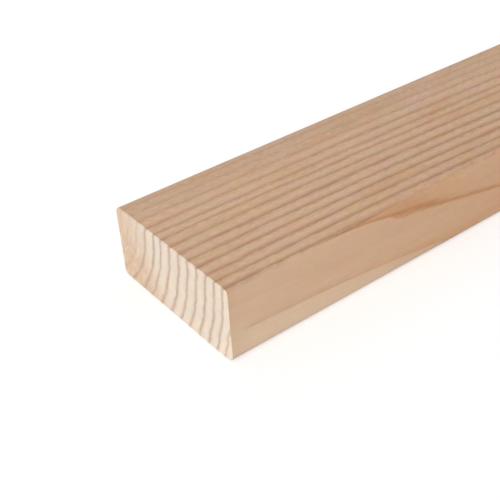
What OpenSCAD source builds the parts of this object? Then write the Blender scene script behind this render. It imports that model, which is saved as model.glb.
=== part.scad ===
// Planed softwood plank: one straight piece of sawn and surfaced framing stock.
// It lies flat on a wide face. The origin is at the middle of that face, +X runs along
// the length, +Y across the width, and +Z up through the thickness.

/* [Stock] */
// Length between the two cross-cut ends, as sold
stock_length = 2440; // [600:10:6100]
// Width across a wide face
stock_width = 90; // [40:1:300]
// Thickness from one wide face to the other
stock_thickness = 40; // [18:1:100]

/* [Planed edges] */
// Radius that eases each of the four long edges
edge_radius = 3; // [1:0.5:8]

/* [Hidden] */

// Sides of a full circle where a curve is drawn as a polygon
$fn = 96;

// Width of the flat that is left between the eased edges of a wide face
wide_flat = stock_width - 2 * edge_radius;

// Height of the flat that is left between the eased edges of a narrow face
narrow_flat = stock_thickness - 2 * edge_radius;

// Cross-section, centred: two flats that cross, and a round in each of the corners they leave
module eased_section() {
    square([wide_flat, stock_thickness], center = true);
    square([stock_width, narrow_flat], center = true);
    for (side = [-1, 1], level = [-1, 1])
        translate([side * wide_flat / 2, level * narrow_flat / 2])
            circle(r = edge_radius);
}

// The whole plank: its section run along +X and cut off square at both ends
module plank() {
    color("burlywood")
        translate([-stock_length / 2, 0, stock_thickness / 2])
            rotate([90, 0, 90])
                linear_extrude(stock_length)
                    eased_section();
}

plank();
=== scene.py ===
"""A planed softwood plank on a pale studio floor.

The plank is cut out of one tree: a line of pith runs beside it, and every point of the wood has a
distance from that pith, which says in which growth ring it lies and how far through the ring's year.
The same rings shape the raised grain of the mesh and colour the planed faces and the sawn ends.
"""
import math

import bpy
import numpy as np
from mathutils import Matrix, Vector


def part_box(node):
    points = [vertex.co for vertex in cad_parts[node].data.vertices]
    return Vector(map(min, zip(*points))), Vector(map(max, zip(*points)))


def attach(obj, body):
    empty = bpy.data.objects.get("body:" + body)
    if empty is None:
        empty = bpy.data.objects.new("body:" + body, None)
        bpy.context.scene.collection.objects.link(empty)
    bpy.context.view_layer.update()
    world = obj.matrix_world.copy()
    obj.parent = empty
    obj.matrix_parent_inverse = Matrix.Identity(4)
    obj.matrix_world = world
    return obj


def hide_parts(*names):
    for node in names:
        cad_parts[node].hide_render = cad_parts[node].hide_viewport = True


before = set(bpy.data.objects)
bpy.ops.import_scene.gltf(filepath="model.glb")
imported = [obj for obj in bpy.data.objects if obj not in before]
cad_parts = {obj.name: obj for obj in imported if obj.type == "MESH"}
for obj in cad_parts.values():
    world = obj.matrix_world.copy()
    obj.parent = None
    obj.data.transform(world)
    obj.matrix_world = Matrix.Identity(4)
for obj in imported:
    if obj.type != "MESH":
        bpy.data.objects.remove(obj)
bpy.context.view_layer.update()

MM = 0.001

# Sizes of the plank
low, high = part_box("plank")
LENGTH, WIDTH, THICKNESS = high - low
EDGE_RADIUS = 3 * MM
SAWN_CORNER = 0.4 * MM

# The tree, measured from the near end of the plank, from its middle line and from the floor
PITH_ASIDE = 81.2 * MM
PITH_HEIGHT = 46.7 * MM
SWAY_LENGTH = 1.4
PITH_DRIFT = 3.0 * MM
RING_SPREAD = 0.113

# Growth rings from the first radius outward: the width of each in millimetres, and how strong its line is
HEART_RADIUS = 23.5 * MM
RINGS = (
    (7.0, 0.30), (7.0, 0.30), (6.4, 0.35), (6.4, 0.35), (7.0, 0.50), (7.6, 0.70), (7.2, 0.70), (5.4, 0.82),
    (7.4, 0.80), (7.5, 1.00), (6.8, 0.92), (6.8, 1.00), (6.8, 0.95), (6.5, 0.97), (6.0, 0.95), (5.4, 0.42),
    (5.8, 0.60), (6.0, 0.60))
RING_EDGES = HEART_RADIUS + MM * np.concatenate([[0], np.cumsum([width for width, _ in RINGS])])

# Waves in the rings: swing, then the lengths of one wave along, across and up, then its start
RING_WAVES = (
    (0.20 * MM, 310 * MM, 60 * MM, 21 * MM, 0.6),
    (0.16 * MM, 170 * MM, 27 * MM, 12 * MM, 2.1),
    (0.10 * MM, 90 * MM, 17 * MM, 7 * MM, 4.0),
)

# One ring bulges in places: how far out or in, and the middle and reach of each bulge along the plank
BULGES = ((0.22 * MM, 101 * MM, 13 * MM), (-1.1 * MM, 188 * MM, 49 * MM))
BULGE_RADIUS, BULGE_REACH = 125 * MM, 2.6 * MM

# Raised grain: how far the soft spring wood lies below the summer wood
FACE_RELIEF = 0.09 * MM
END_RELIEF = 0.05 * MM

# Mesh cells: round each eased corner, on the two flats, and along the plank
CORNER_CELLS = 6
WIDE_CELLS = 140
NARROW_CELLS = 48
LENGTH_CELLS = 178
EVEN_SHARE = 0.5


class Wire:
    """A value on a socket. Arithmetic on it adds Math nodes."""

    def __init__(self, nodes, socket):
        self.nodes = nodes
        self.socket = socket

    def other(self, name):
        """Another output of the node that this value comes from."""
        return Wire(self.nodes, self.socket.node.outputs[name])

    def math(self, operation, *others):
        """A Math node that starts from this value."""
        return self.nodes.math(operation, self, *others)

    def __add__(self, other):
        return self.math("ADD", other)

    def __sub__(self, other):
        return self.math("SUBTRACT", other)

    def __rsub__(self, other):
        return self.nodes.math("SUBTRACT", other, self)

    def __mul__(self, other):
        return self.math("MULTIPLY", other)

    def __truediv__(self, other):
        return self.math("DIVIDE", other)

    def __rtruediv__(self, other):
        return self.nodes.math("DIVIDE", other, self)

    __radd__ = __add__
    __rmul__ = __mul__


class Nodes:
    """The node tree of a material or of the world."""

    def __init__(self, owner):
        owner.use_nodes = True
        self.tree = owner.node_tree
        self.tree.nodes.clear()

    def node(self, kind, settings=None, inputs=None, output=0):
        """Adds a node with its settings, then the values or links of its sockets, and gives one output."""
        node = self.tree.nodes.new(kind)
        for name, value in (settings or {}).items():
            if name == "points":
                self.set_curve(node, value)
            else:
                setattr(node, name, value)
        for key, value in (inputs or {}).items():
            socket = self.find(node.inputs, key)
            if isinstance(value, Wire):
                self.tree.links.new(value.socket, socket)
            else:
                socket.default_value = value
        return Wire(self, self.find(node.outputs, output)) if node.outputs else None

    @staticmethod
    def find(sockets, key):
        """A socket by its number, or by its identifier or name."""
        if isinstance(key, int):
            return sockets[key]
        return next(s for s in sockets if key == s.identifier or (key == s.name and s.enabled))

    @staticmethod
    def set_curve(node, points):
        """Gives a Float Curve straight runs between these points."""
        curve = node.mapping.curves[0]
        while len(curve.points) < len(points):
            curve.points.new(0.5, 0.5)
        for point, place in zip(curve.points, points):
            point.location = place
            point.handle_type = "VECTOR"
        node.mapping.update()

    def math(self, operation, *values):
        """A Math node with these values or links."""
        return self.node("ShaderNodeMath", {"operation": operation}, dict(enumerate(values)))

    def mix(self, share, first, second, way="MIX"):
        """The first colour turning into the second one as share goes from 0 to 1."""
        settings = {"data_type": "RGBA", "blend_type": way}
        inputs = {"Factor_Float": share, "A_Color": first, "B_Color": second}
        return self.node("ShaderNodeMix", settings, inputs, "Result_Color")

    def noise(self, place, size, longer, detail=2.0, roughness=0.5):
        """Smooth noise about 0.5, with features of that size across the grain and so much longer along it."""
        settings = {"operation": "MULTIPLY"}
        squeezed = self.node("ShaderNodeVectorMath", settings, {0: place, 1: (1 / longer, 1, 1)}, "Vector")
        inputs = {"Vector": squeezed, "Scale": 1 / size, "Detail": detail, "Roughness": roughness}
        return self.node("ShaderNodeTexNoise", {"noise_dimensions": "3D"}, inputs, "Fac")

    def weave(self, first, second):
        """Smooth noise over two values, with features about as big as one unit of each."""
        place = self.node("ShaderNodeCombineXYZ", inputs={0: first, 1: second})
        return self.node("ShaderNodeTexNoise", inputs={"Vector": place, "Scale": 1.0}, output="Fac")


def cosine(angle):
    """The cosine of a wire, a number or an array."""
    return angle.math("COSINE") if isinstance(angle, Wire) else np.cos(angle)


def root(value):
    """The square root of a wire, a number or an array."""
    return value.math("SQRT") if isinstance(value, Wire) else np.sqrt(value)


def smooth(value, start, end):
    """0 up to start, 1 from end on, and a smooth step between them."""
    if isinstance(value, Wire):
        settings = {"interpolation_type": "SMOOTHSTEP"}
        inputs = {"Value": value, "From Min": start, "From Max": end}
        return value.nodes.node("ShaderNodeMapRange", settings, inputs, "Result")
    step = np.clip((value - start) / (end - start), 0, 1)
    return step * step * (3 - 2 * step)


def bell(value, middle, reach):
    """1 at the middle, falling to a quarter at its reach on either side."""
    off = (value - middle) / reach
    dome = 1 / (off * off + 1)
    return dome * dome


def growth_radius(along, across, up):
    """Distance from the pith, counted as at the near end, of points in the wood."""
    sway = 1 - cosine(along * (2 * math.pi / SWAY_LENGTH))
    aside = PITH_ASIDE - PITH_DRIFT * sway - across
    above = PITH_HEIGHT - up
    radius = root(aside * aside + above * above) / (1 + RING_SPREAD * sway)
    for swing, length, width, height, start in RING_WAVES:
        turn = along * (2 * math.pi / length) + across * (2 * math.pi / width) + up * (2 * math.pi / height)
        radius = radius + swing * cosine(turn + start)
    bulging = bell(radius, BULGE_RADIUS, BULGE_REACH)
    for push, middle, reach in BULGES:
        radius = radius - push * bulging * bell(along, middle, reach)
    return radius


def ring_count(radius):
    """How many rings lie inside a radius. Its whole part names the ring, and the rest is the share of it."""
    last = len(RINGS)
    if isinstance(radius, Wire):
        reach = RING_EDGES[-1] - RING_EDGES[0]
        points = [((edge - RING_EDGES[0]) / reach, i / last) for i, edge in enumerate(RING_EDGES)]
        place = (radius - RING_EDGES[0]) / reach
        return radius.nodes.node("ShaderNodeFloatCurve", {"points": points}, {"Value": place}) * last
    return np.interp(radius, RING_EDGES, np.arange(last + 1))


def line_strength(count):
    """How strong the rings are drawn: each by its own strength from early summer on, and mixed in spring."""
    strengths = [strength for _, strength in RINGS for _ in range(2)]
    places = [i + share for i in range(len(RINGS)) for share in (0.35, 0.98)]
    if isinstance(count, Wire):
        points = [(place / len(RINGS), strength) for place, strength in zip(places, strengths)]
        share = count / len(RINGS)
        return count.nodes.node("ShaderNodeFloatCurve", {"points": points}, {"Value": share})
    return np.interp(count, places, strengths)


def tone(red, green, blue):
    """A colour as seen, from 0 to 255, as the linear values that a shader takes."""
    seen = np.array([red, green, blue]) / 255
    linear = np.where(seen <= 0.04045, seen / 12.92, ((seen + 0.055) / 1.055) ** 2.4)
    return (*linear.tolist(), 1.0)


# The plank's mesh

def grid_line(flat, cells, radius):
    """Places of grid lines across a side: in the two rounded corners, and evenly on the flat between."""
    corner = radius * np.tan(np.linspace(0, math.pi / 4, CORNER_CELLS + 1))
    middle = np.linspace(-flat / 2, flat / 2, cells + 1)
    return np.concatenate([-flat / 2 - corner[:0:-1], middle, flat / 2 + corner[1:]])


def section_grid(inset):
    """Points that fill the eased section, moved in from its outline, and their outward directions."""
    radius = EDGE_RADIUS - inset
    wide_flat = WIDTH - 2 * EDGE_RADIUS
    narrow_flat = THICKNESS - 2 * EDGE_RADIUS
    wide_lines = grid_line(wide_flat, WIDE_CELLS, radius)
    narrow_lines = grid_line(narrow_flat, NARROW_CELLS, radius)
    y, z = np.meshgrid(wide_lines, narrow_lines, indexing="ij")
    core_y = np.clip(y, -wide_flat / 2, wide_flat / 2)
    core_z = np.clip(z, -narrow_flat / 2, narrow_flat / 2)
    out_y, out_z = y - core_y, z - core_z
    reach = np.hypot(out_y, out_z)
    shrink = np.maximum(abs(out_y), abs(out_z)) / np.where(reach > 0, reach, 1)
    out_y, out_z = out_y * shrink, out_z * shrink
    outward = np.stack([out_y, out_z], -1) / radius
    return core_y + out_y, core_z + out_z + THICKNESS / 2, outward


def rim(grid):
    """The outline of a grid of values, once round."""
    return np.concatenate([grid[:-1, 0], grid[-1, :-1], grid[:0:-1, -1], grid[0, :0:-1]])


def ridge(along, across, up):
    """Height of the raised grain: it climbs through a ring's year to 1 at the line and drops at its end."""
    count = ring_count(growth_radius(along, across, up))
    share = count % 1.0
    return smooth(share, 0.36, 0.78) * (1 - smooth(share, 0.81, 1.0)) * line_strength(count)


def stations():
    """Places along the plank where its outline is repeated, closer together near the ends."""
    even = np.linspace(0, 1, LENGTH_CELLS + 1)
    eased = (1 - np.cos(math.pi * even)) / 2
    run = LENGTH - 2 * SAWN_CORNER
    return SAWN_CORNER + run * (EVEN_SHARE * even + (1 - EVEN_SHARE) * eased)


def plank_points():
    """Points of the long faces, row by row, and of the two ends."""
    y, z, outward = section_grid(0)
    y, z = rim(y)[None, :], rim(z)[None, :]
    out_y, out_z = rim(outward[..., 0]), rim(outward[..., 1])
    rows = np.repeat(stations()[:, None], y.size, 1)
    high_grain = ridge(rows, y, z)
    depth = FACE_RELIEF * (1 - high_grain)
    crumbled = SAWN_CORNER * (1.1 - high_grain)
    rows[0] += crumbled[0]
    rows[-1] -= crumbled[-1]
    faces = np.stack([rows, y - depth * out_y, z - depth * out_z], -1)
    ends = []
    cap_y, cap_z, _ = section_grid(SAWN_CORNER)
    for place, inward in ((0, 1), (LENGTH, -1)):
        sunk = END_RELIEF * (1 - ridge(np.full_like(cap_y, place), cap_y, cap_z))
        ends.append(np.stack([place + inward * sunk, cap_y, cap_z], -1))
    return faces, ends


def plank_mesh(name):
    """The whole plank as one closed mesh of four-sided faces. Its sawn ends have the second material."""
    faces, ends = plank_points()
    count, around = faces.shape[:2]
    cap_shape = ends[0].shape[:2]
    cap_size = cap_shape[0] * cap_shape[1]
    points = np.concatenate([faces.reshape(-1, 3), ends[0].reshape(-1, 3), ends[1].reshape(-1, 3)])
    points[:, 0] += low.x
    rows = np.arange(count * around).reshape(count, around)
    caps = [count * around + i * cap_size + np.arange(cap_size).reshape(cap_shape) for i in range(2)]
    strips = np.stack([rim(caps[0]), *rows, rim(caps[1])])
    quads = strip_corners(strips)
    for cap, order in zip(caps, (1, -1)):
        corners = [cap[:-1, :-1], cap[:-1, 1:], cap[1:, 1:], cap[1:, :-1]]
        quads.append(np.stack(corners[::order], -1).reshape(-1, 4))
    sawn = [0, len(quads) - 3, len(quads) - 2, len(quads) - 1]
    slots = np.concatenate([np.full(len(quad), i in sawn, np.int32) for i, quad in enumerate(quads)])
    quads = np.concatenate(quads)
    mesh = bpy.data.meshes.new(name)
    mesh.from_pydata(points.tolist(), [], quads.tolist())
    mesh.polygons.foreach_set("material_index", slots)
    mesh.polygons.foreach_set("use_smooth", np.ones(len(quads), bool))
    sharpen(mesh, [strips[0], strips[1], strips[-2], strips[-1]])
    lay_out(mesh, around, cap_shape)
    return mesh


def strip_corners(strips):
    """The four corners of each face between one outline and the next, for each pair of outlines."""
    ahead = np.roll(strips, -1, 1)
    return [np.stack([strips[i], strips[i + 1], ahead[i + 1], ahead[i]], -1) for i in range(len(strips) - 1)]


def sharpen(mesh, loops):
    """Keeps the edges along these loops of points sharp."""
    tag = np.zeros(len(mesh.vertices), np.int32)
    for i, loop in enumerate(loops):
        tag[loop] = i + 1
    ends = np.zeros(len(mesh.edges) * 2, np.int32)
    mesh.edges.foreach_get("vertices", ends)
    first, second = tag[ends[0::2]], tag[ends[1::2]]
    mesh.edges.foreach_set("use_edge_sharp", (first > 0) & (first == second))


# The flat layout of the faces: the long faces in one block, drawn wide, and the ends above it
LAYOUT_NAME = "OFBake"
LONG_BLOCK = (0.004, 0.996, 0.004, 0.716)
END_BLOCKS = ((0.004, 0.492, 0.734, 0.996), (0.508, 0.996, 0.734, 0.996))
LEAST_STEP = 5 * MM


def lay_out(mesh, around, cap_shape):
    """Gives the mesh a flat layout, with its faces in the order that the mesh has them in."""
    steps = np.maximum(np.diff(np.concatenate([[-SAWN_CORNER], stations(), [LENGTH]])), LEAST_STEP)
    left, right, bottom, top = LONG_BLOCK
    u = left + (right - left) * np.concatenate([[0], np.cumsum(steps)]) / steps.sum()
    v = np.linspace(bottom, top, around + 1)
    grid = np.stack(np.meshgrid(u, v, indexing="ij"), -1)
    parts = [np.stack([grid[:-1, :-1], grid[1:, :-1], grid[1:, 1:], grid[:-1, 1:]], -2)]
    for block, order in zip(END_BLOCKS, (1, -1)):
        left, right, bottom, top = block
        u, v = np.linspace(left, right, cap_shape[0]), np.linspace(bottom, top, cap_shape[1])
        grid = np.stack(np.meshgrid(u, v, indexing="ij"), -1)
        corners = [grid[:-1, :-1], grid[:-1, 1:], grid[1:, 1:], grid[1:, :-1]]
        parts.append(np.stack(corners[::order], -2))
    layer = mesh.uv_layers.new(name=LAYOUT_NAME)
    layer.data.foreach_set("uv", np.concatenate([part.reshape(-1) for part in parts]))


# The finishes: colours of the planed faces and of the sawn ends, as seen in even light

SPRING_FACE = tone(207, 171, 141)
HEART_FACE = tone(195, 162, 134)
SAP_FACE = tone(214, 187, 159)
BLUSH_FACE = tone(200, 156, 118)
ROSY_FACE = tone(206, 172, 150)
TURNING_FACE = tone(180, 140, 105)
RESIN_FACE = tone(193, 139, 94)
SUMMER_FACE = tone(150, 106, 72)
RUSSET_FACE = tone(160, 104, 60)
SPRING_END = tone(226, 210, 192)
AMBER_END = tone(212, 182, 155)
SUMMER_TIP = tone(194, 171, 151)

# Distances from the pith: the greyer heart, the warmer faces, late summers on the edges, and the paler ends
HEART_FROM, HEART_TO = 44 * MM, 62 * MM
WARM_FROM, WARM_TO = 105 * MM, 120 * MM
LATE_FROM, LATE_TO = 119.2 * MM, 122 * MM
PALE_FROM, PALE_TO = 120 * MM, 129 * MM

# Where the russet line and the line at the start of the sap wood end
RUSSET_RADIUS, SAP_RADIUS = RING_EDGES[15], RING_EDGES[16]

# Distances from an end: where the last lines settle, where the edges stop darkening, and where the dulling
# stops
SETTLED_FROM, SETTLED_TO = 3 * MM, 16 * MM
EDGE_DARK_FROM, EDGE_DARK_TO = 5 * MM, 45 * MM
DULL_FROM, DULL_TO = 1 * MM, 7 * MM

# Slow changes of colour along the plank, the stretch where they keep step, and the glow of resin
TIDE_LENGTH, TIDE_EVEN = 420 * MM, 200 * MM
GLOW_ALONG, GLOW_LENGTH = 104 * MM, 30 * MM

# How ragged the lines are, and how deep the fibres and pores
FACE_RAGGED, END_RAGGED = 1.9 * MM, 1.7 * MM
FIBRE_DEPTH, PORE_DEPTH = 0.12 * MM, 0.15 * MM
SHEEN = 0.35

# Sawn ends: the amber side, rays and arcs with how many of each in a radian, and the leaning saw strokes
AMBER_FROM, AMBER_TO = 14 * MM, 48 * MM
RAY_LENGTH, RAYS = 9 * MM, 160
ARC_WIDTH, ARCS = 1.7 * MM, 7
SAW_WIDTH, SAW_LENGTH = 0.5 * MM, 25 * MM
SAW_SLANT = 0.28


class Growth:
    """What a finish reads from the tree at each point of the wood."""

    def __init__(self, nodes, raggedness):
        self.place = nodes.node("ShaderNodeTexCoord", output="Object")
        x = nodes.node("ShaderNodeSeparateXYZ", inputs={0: self.place}, output="X")
        self.along, self.across, self.up = x - low.x, x.other("Y"), x.other("Z")
        self.flecks = nodes.noise(self.place, 0.8 * MM, 5, 2.0, 0.6)
        self.runs = nodes.noise(self.place, 1.6 * MM, 14, 2.0, 0.6)
        self.blotches = nodes.noise(self.place, 4.5 * MM, 3).other("Color")
        # The narrow faces of the plank, its edges, have calmer grain
        self.edge = smooth(self.across.math("ABSOLUTE"), WIDTH / 2 - 1.2 * MM, WIDTH / 2 - 0.2 * MM)
        self.calm = 1 - 0.75 * self.edge
        ragged = (0.5 * self.flecks + self.runs - 0.75) * (1 - 0.93 * self.edge) * raggedness
        self.radius = growth_radius(self.along, self.across, self.up) + ragged
        count = ring_count(self.radius)
        self.share = count.math("FRACT")
        self.strength = line_strength(count)
        self.late = smooth(self.radius, LATE_FROM, LATE_TO) * self.edge
        lag = nodes.noise(self.place, 60 * MM, 9, 1.0) - 0.5
        turns = self.along / TIDE_LENGTH + 1.6 * lag * smooth(self.along, TIDE_EVEN, 3 * TIDE_EVEN)
        self.tide = 0.5 - 0.5 * cosine(2 * math.pi * turns)


def shaded(nodes, colour, level):
    """A colour made lighter or darker by a level about 1."""
    grey = nodes.node("ShaderNodeCombineColor", inputs={0: level, 1: level, 2: level})
    return nodes.mix(1.0, colour, grey, "MULTIPLY")


def spring_wood(nodes, wood, cloud, settled):
    """Spring wood of a planed face: greyer at the heart, pale in the sap wood, warm or rosy in patches."""
    heart = 1 - smooth(wood.radius, HEART_FROM, HEART_TO)
    step = smooth(wood.radius, SAP_RADIUS - 0.4 * MM, SAP_RADIUS + 0.4 * MM) * settled
    soft_start = (6 * wood.tide - 5) * MM + SAP_RADIUS
    sap = 0.7 * smooth(wood.radius, soft_start, SAP_RADIUS + 2.2 * MM) + 0.3 * step
    outward = 0.15 + 0.6 * smooth(wood.radius, WARM_FROM, WARM_TO)
    warm = (0.7 - 0.4 * wood.edge) * smooth(cloud, 0.5, 0.8)
    blush = (wood.tide * outward + warm) * (1 - 0.7 * sap)
    rosy = 0.5 * (1 - smooth(cloud, 0.25, 0.5)) * wood.calm
    colour = nodes.mix(heart * 0.8, SPRING_FACE, HEART_FACE)
    colour = nodes.mix(sap * (0.95 - 0.25 * wood.tide), colour, SAP_FACE)
    colour = nodes.mix(blush, colour, BLUSH_FACE)
    return nodes.mix(rosy, colour, ROSY_FACE)


def summer_course(wood):
    """How far each point of a planed face has turned to summer, and the dark core of the lines."""
    late = wood.late
    slow = late * beyond_russet(wood)
    fading = 1 - (0.7 + 0.3 * late) * smooth(wood.share, 0.80 + 0.15 * late, 1.0)
    after = (0.3 - 0.3 * late) * (1 - smooth(wood.share, 0.0, 0.2))
    turning = smooth(wood.share, 0.34 + 0.50 * late - 0.18 * slow, 0.78 + 0.19 * late) * fading + after
    core = smooth(wood.share, 0.62 + 0.28 * late, 0.78 + 0.18 * late)
    core = core * (1 - smooth(wood.share, 0.82 + 0.13 * late, 0.98 + 0.02 * late))
    return turning, core * (0.32 + 0.13 * late - 0.05 * slow)


def beyond_russet(wood):
    """1 outside the russet line, and 0 inside it."""
    return smooth(wood.radius, RUSSET_RADIUS, RUSSET_RADIUS + 0.5 * MM)


def resin_glow(wood):
    """How much resin glows through inside the russet line."""
    glow = bell(wood.along, GLOW_ALONG, GLOW_LENGTH)
    return wood.late * glow * smooth(wood.share, 0.4, 0.7) * (1 - beyond_russet(wood))


def edge_shade_and_end_darkening(wood, from_end, patches):
    """How much darker the wood is made: painted shade all along its eased edges, more darkening there in
    patches near the ends, and a little at the ends.
    """
    aside = smooth(wood.across.math("ABSOLUTE"), WIDTH / 2 - EDGE_RADIUS, WIDTH / 2 - EDGE_RADIUS / 3)
    height = (wood.up - THICKNESS / 2).math("ABSOLUTE")
    eased_edge = aside * smooth(height, THICKNESS / 2 - EDGE_RADIUS, THICKNESS / 2 - EDGE_RADIUS / 3)
    darker_near_ends = 0.12 * (1 - smooth(from_end, EDGE_DARK_FROM, EDGE_DARK_TO)) * (0.4 + 1.2 * patches)
    dull = 0.03 * (1 - smooth(from_end, DULL_FROM, DULL_TO))
    # The 0.06 is painted shade that keeps the rounded edges from looking lit; near the ends they darken more,
    # in patches
    return eased_edge * (0.06 + darker_near_ends) + dull


def planed_face():
    """Planed long grain: tan spring wood, brown summer lines, fine fibres and a low sheen."""
    material = bpy.data.materials.new("planed_softwood")
    nodes = Nodes(material)
    wood = Growth(nodes, FACE_RAGGED)
    fibres = nodes.noise(wood.place, 0.5 * MM, 40, 3.0, 0.6)
    patches = nodes.noise(wood.place, 2 * MM, 4)
    streaks = nodes.noise(wood.place, 4 * MM, 30)
    cloud = nodes.noise(wood.place, 12 * MM, 4)
    ducts = smooth(nodes.noise(wood.place, 0.35 * MM, 30, 1.0), 0.68, 0.76)
    from_end = wood.along.math("MINIMUM", LENGTH - wood.along)
    settled = smooth(from_end, SETTLED_FROM, SETTLED_TO)
    late = wood.late

    # Summer lines over spring wood
    strength = wood.strength * (0.2 + 0.35 * streaks + 1.25 * patches)
    strength = strength * (1 + 0.16 * wood.tide * (1 - late)) * (1 - late * (1 - settled))
    turning, core = summer_course(wood)
    spots = smooth(cloud * 0.4 + patches * 0.6, 0.5, 0.68)
    orange = late * smooth(wood.tide, 0.1, 0.45) + (1 - late) * spots
    turned = nodes.mix(orange, TURNING_FACE, RESIN_FACE)
    darkest = nodes.mix(late, SUMMER_FACE, RUSSET_FACE)
    colour = spring_wood(nodes, wood, cloud, settled)
    colour = nodes.mix(resin_glow(wood) * 0.7, colour, RESIN_FACE)
    colour = nodes.mix(turning * strength * (0.72 + 0.10 * late), colour, turned)
    colour = nodes.mix(core * strength, colour, darkest)
    colour = nodes.mix(0.045 - 0.02 * wood.edge, colour, wood.blotches, "LINEAR_LIGHT")

    # Light and dark flecks, painted shade on the eased edges, and the surface
    mottle = 0.12 * (fibres - 0.5) + 0.6 * (wood.flecks - 0.5) + 0.14 * (wood.runs - 0.5) - 0.12 * ducts
    far = (0.075 - 0.025 * wood.edge) * wood.tide
    level = 1.0 + mottle * wood.calm + 0.1 * (streaks - 0.5) - far - edge_shade_and_end_darkening(wood, from_end, patches)
    grain = fibres * 0.6 + wood.flecks * 0.4
    bump = nodes.node("ShaderNodeBump", inputs={"Strength": 0.5, "Distance": FIBRE_DEPTH, "Height": grain})
    finish(nodes, shaded(nodes, colour, level), 0.62 - 0.1 * turning + 0.12 * fibres, bump)
    return material


def sawn_end():
    """Sawn end grain: pale spring wood between narrow summer lines, with fine rays and a rough face."""
    material = bpy.data.materials.new("sawn_end_grain")
    nodes = Nodes(material)
    wood = Growth(nodes, END_RAGGED)
    pores = nodes.noise(wood.place, 0.45 * MM, 5, 3.0, 0.6)
    cloud = nodes.noise(wood.place, 7 * MM, 4)
    bearing = (PITH_HEIGHT - wood.up).math("ARCTAN2", PITH_ASIDE - wood.across)
    rays = nodes.weave(wood.radius / RAY_LENGTH, bearing * RAYS)
    arcs = nodes.weave(wood.radius / ARC_WIDTH, bearing * ARCS)
    over_strokes = (wood.across + SAW_SLANT * wood.up) / SAW_WIDTH
    with_strokes = (wood.up - SAW_SLANT * wood.across) / SAW_LENGTH
    saw = nodes.weave(over_strokes, with_strokes)

    # Summer lines over spring wood, which is amber near the heart and more so low down
    amber = smooth(wood.across + 0.5 * (THICKNESS - wood.up), AMBER_FROM, AMBER_TO)
    amber = amber * (1.2 - 0.42 * wood.up / THICKNESS)
    boldness = 0.18 + 0.82 * smooth(wood.strength, 0.35, 0.75) + 0.6 * beyond_russet(wood)
    strength = boldness * (0.9 * cloud + 0.5 * pores + 0.9 * arcs - 0.15)
    fading = 1 - 0.8 * smooth(wood.share, 0.83, 0.99)
    after = 0.2 * (1 - smooth(wood.share, 0.0, 0.15))
    summer = smooth(wood.share, 0.36 + 0.26 * cloud, 0.78) * fading + after
    core = smooth(wood.share, 0.66, 0.79) * (1 - smooth(wood.share, 0.84, 0.96))
    colour = nodes.mix(amber * (3.4 * arcs - 0.8), SPRING_END, AMBER_END)
    colour = nodes.mix(summer * strength * 0.68, colour, SUMMER_TIP)
    colour = nodes.mix(core * strength * 0.23, colour, SUMMER_FACE)
    colour = nodes.mix(0.058, colour, wood.blotches, "LINEAR_LIGHT")

    # Light and dark flecks, and the surface
    level = 0.73 + 0.14 * pores + 0.10 * rays + 0.08 * cloud + 0.18 * arcs + 0.06 * saw
    level = level + 0.06 * smooth(wood.radius, PALE_FROM, PALE_TO)
    rough = pores * 0.5 + saw * 0.5
    bump = nodes.node("ShaderNodeBump", inputs={"Strength": 0.5, "Distance": PORE_DEPTH, "Height": rough})
    finish(nodes, shaded(nodes, colour, level), 0.82 + 0.1 * pores, bump)
    return material


def finish(nodes, colour, roughness, normal):
    """Ends a material with one plain surface."""
    inputs = {"Base Color": colour, "Roughness": roughness, "Normal": normal, "Specular IOR Level": SHEEN}
    shader = nodes.node("ShaderNodeBsdfPrincipled", inputs=inputs)
    nodes.node("ShaderNodeOutputMaterial", inputs={"Surface": shader})


mesh = plank_mesh("softwood_plank")
for material in (planed_face(), sawn_end()):
    mesh.materials.append(material)
plank = bpy.data.objects.new("softwood_plank", mesh)
bpy.context.scene.collection.objects.link(plank)
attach(plank, "root")
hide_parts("plank")


# The studio

AMBIENT = 0.59
KEY_LEVEL = 1.9
KEY_FROM = Vector((-0.72, -0.47, 0.52))
FILL_LEVEL = 0.7
FILL_FROM = Vector((0.76, 0.62, 0.12))
LAMP_SPREAD = math.radians(50)
FLOOR_SIZE = 40.0
FLOOR_GREY = (0.8, 0.8, 0.8, 1)
FLOOR_GLOW = 0.3


def seen_directly(nodes):
    """1 for what the camera sees, straight or in a reflection or through glass, and 0 for other light."""
    path = nodes.node("ShaderNodeLightPath", output="Is Camera Ray")
    seen = path + path.other("Is Glossy Ray") + path.other("Is Transmission Ray")
    return seen.math("MINIMUM", 1.0)


def studio_floor():
    """A white floor that shows the plank's shadow."""
    half = FLOOR_SIZE / 2
    corners = [(-half, -half, 0), (half, -half, 0), (half, half, 0), (-half, half, 0)]
    sheet = bpy.data.meshes.new("studio_floor")
    sheet.from_pydata(corners, [], [(0, 1, 2, 3)])
    material = bpy.data.materials.new("studio_white")
    nodes = Nodes(material)
    matt = nodes.node("ShaderNodeBsdfDiffuse", inputs={"Color": FLOOR_GREY})
    glow = nodes.node("ShaderNodeEmission", inputs={"Strength": seen_directly(nodes) * FLOOR_GLOW})
    both = nodes.node("ShaderNodeAddShader", inputs={0: matt, 1: glow})
    nodes.node("ShaderNodeOutputMaterial", inputs={"Surface": both})
    sheet.materials.append(material)
    floor = bpy.data.objects.new("studio_floor", sheet)
    bpy.context.scene.collection.objects.link(floor)


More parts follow.
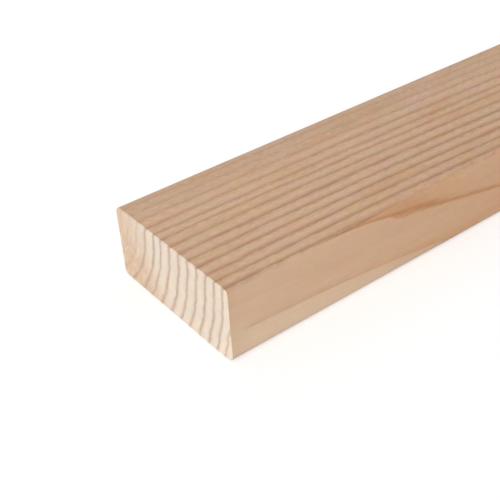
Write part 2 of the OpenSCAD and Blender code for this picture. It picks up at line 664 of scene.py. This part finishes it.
def studio_light():
    """Even light from all round, a broad soft lamp from the left, and a low weak one from behind."""
    world = bpy.data.worlds.new("studio_sky")
    bpy.context.scene.world = world
    nodes = Nodes(world)
    level = AMBIENT + (1 - AMBIENT) * seen_directly(nodes)
    sky = nodes.node("ShaderNodeBackground", inputs={"Color": (1, 1, 1, 1), "Strength": level})
    nodes.node("ShaderNodeOutputWorld", inputs={"Surface": sky})
    soft_lamp("soft_key", KEY_LEVEL, KEY_FROM)
    fill = soft_lamp("soft_fill", FILL_LEVEL, FILL_FROM)
    fill.visible_glossy = False


def soft_lamp(name, level, place):
    """A lamp as far off as the sun and as broad as a window, shining from that side."""
    lamp = bpy.data.lights.new(name, "SUN")
    lamp.energy = level
    lamp.angle = LAMP_SPREAD
    holder = bpy.data.objects.new(name, lamp)
    holder.rotation_euler = place.to_track_quat("Z", "Y").to_euler()
    bpy.context.scene.collection.objects.link(holder)
    return holder


# Camera: its place from the near end's bottom middle, its bearing, its dip and its roll, and its focal length
CAMERA_FROM_END = Vector((-168.4, -303.6, 277.2)) * MM
BEARING = math.radians(-35.2065)
DIP = math.radians(35.1278)
ROLL = math.radians(-4.0649)
FOCAL_PIXELS = 932.35
PICTURE_PIXELS = 500
SENSOR = 36.0


def studio_camera():
    """The camera where the photograph was taken from, without lens shift."""
    data = bpy.data.cameras.new("camera")
    data.sensor_width = SENSOR
    data.lens = SENSOR * FOCAL_PIXELS / PICTURE_PIXELS
    data.clip_start = 0.01
    data.clip_end = 100.0
    ahead = Vector((-math.sin(BEARING) * math.cos(DIP), math.cos(BEARING) * math.cos(DIP), -math.sin(DIP)))
    right = ahead.cross(Vector((0, 0, 1))).normalized()
    above = right.cross(ahead)
    turned_right = math.cos(ROLL) * right + math.sin(ROLL) * above
    turned_above = math.cos(ROLL) * above - math.sin(ROLL) * right
    pose = Matrix((turned_right, turned_above, -ahead)).transposed().to_4x4()
    pose.translation = CAMERA_FROM_END + Vector((low.x, 0, 0))
    camera = bpy.data.objects.new("camera", data)
    camera.matrix_world = pose
    bpy.context.scene.collection.objects.link(camera)
    bpy.context.scene.camera = camera


studio_floor()
studio_light()
studio_camera()
bpy.context.scene.view_settings.view_transform = "Standard"
